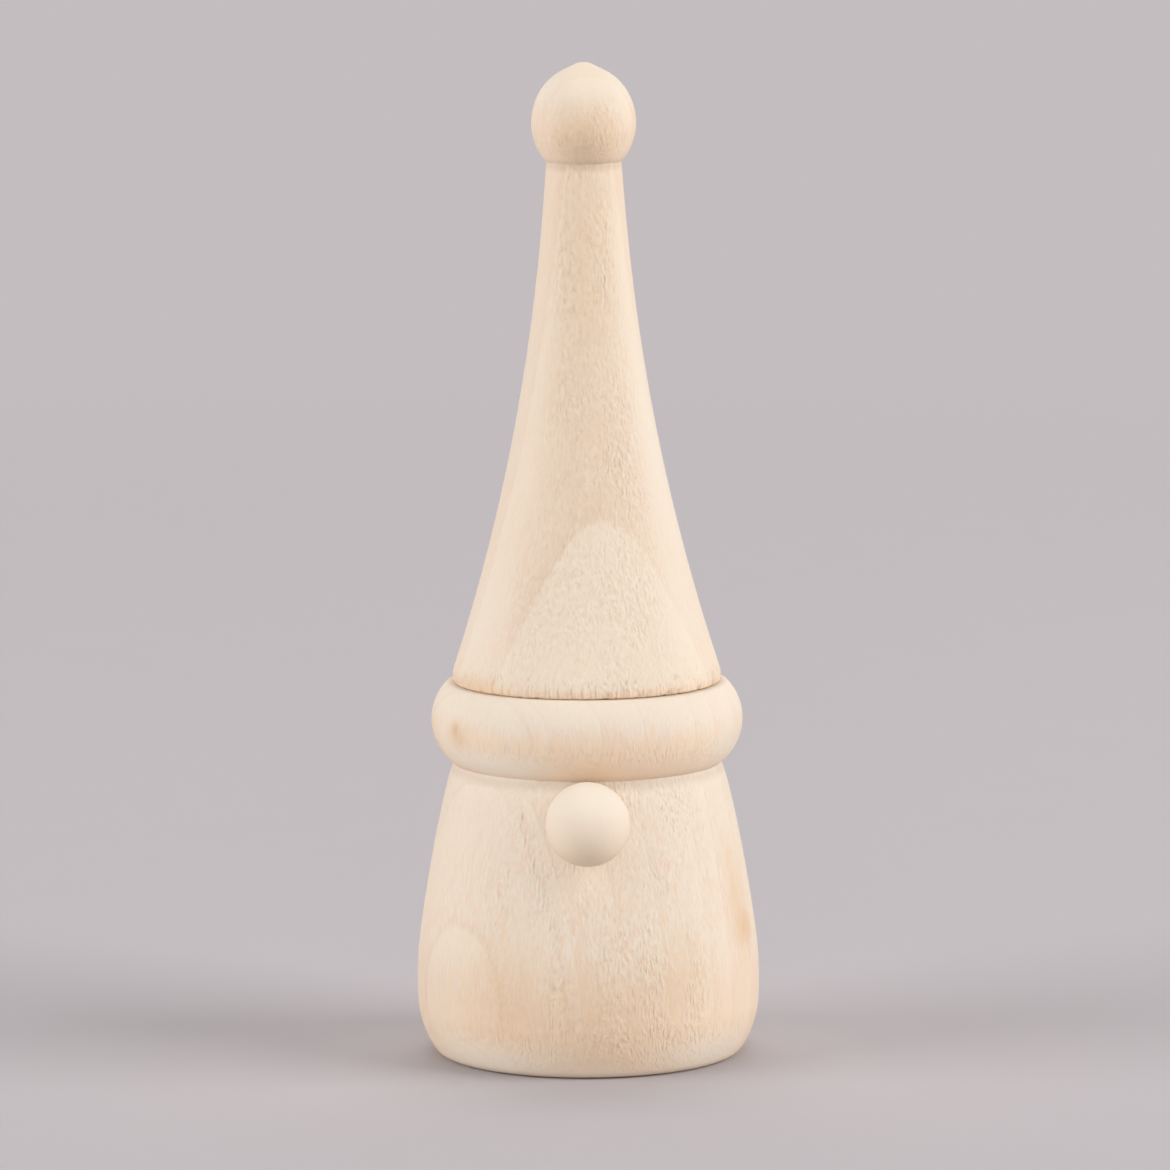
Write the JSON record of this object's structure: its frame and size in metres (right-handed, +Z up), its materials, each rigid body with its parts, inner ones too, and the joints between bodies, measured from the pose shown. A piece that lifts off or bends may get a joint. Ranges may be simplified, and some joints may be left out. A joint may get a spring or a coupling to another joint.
{
  "type": "wooden gnome figure",
  "caption": "Turned wooden gnome that stands on a flat foot, with a rolled brim, a ball nose and a tall bobbled hat that turns and lifts off its dowel.",
  "frame": {"origin": "middle of the flat foot that the figure stands on, on the turning axis", "axes": "+Z up along the turning axis, -Y forwards out of the nose, +X to the viewer's right when facing the nose"},
  "size_m": [0.0412, 0.047, 0.12],
  "materials": {
    "body_wood": "raw, sanded, matte",
    "hat_wood": "raw, lightly torn grain, matte",
    "nose_wood": "raw, finely sanded, matte",
    "dowel_wood": "raw, fluted, matte"
  },
  "bodies": {
    "figure": {"body": "body_wood", "nose_ball": "nose_wood", "nose_peg": "dowel_wood"},
    "dowel": {"hat_dowel": "dowel_wood"},
    "hat": {"hat": "hat_wood"}
  },
  "joints": [
    {"name": "hat_lift", "type": "slide", "parent": "figure", "child": "dowel", "axis": [0, 0, 1], "range_m": [0, 0.025]},
    {"name": "hat_turn", "type": "hinge", "parent": "dowel", "child": "hat", "pos_m": [0, 0, 0.0454], "axis": [0, 0, 1], "continuous": true}
  ]
}
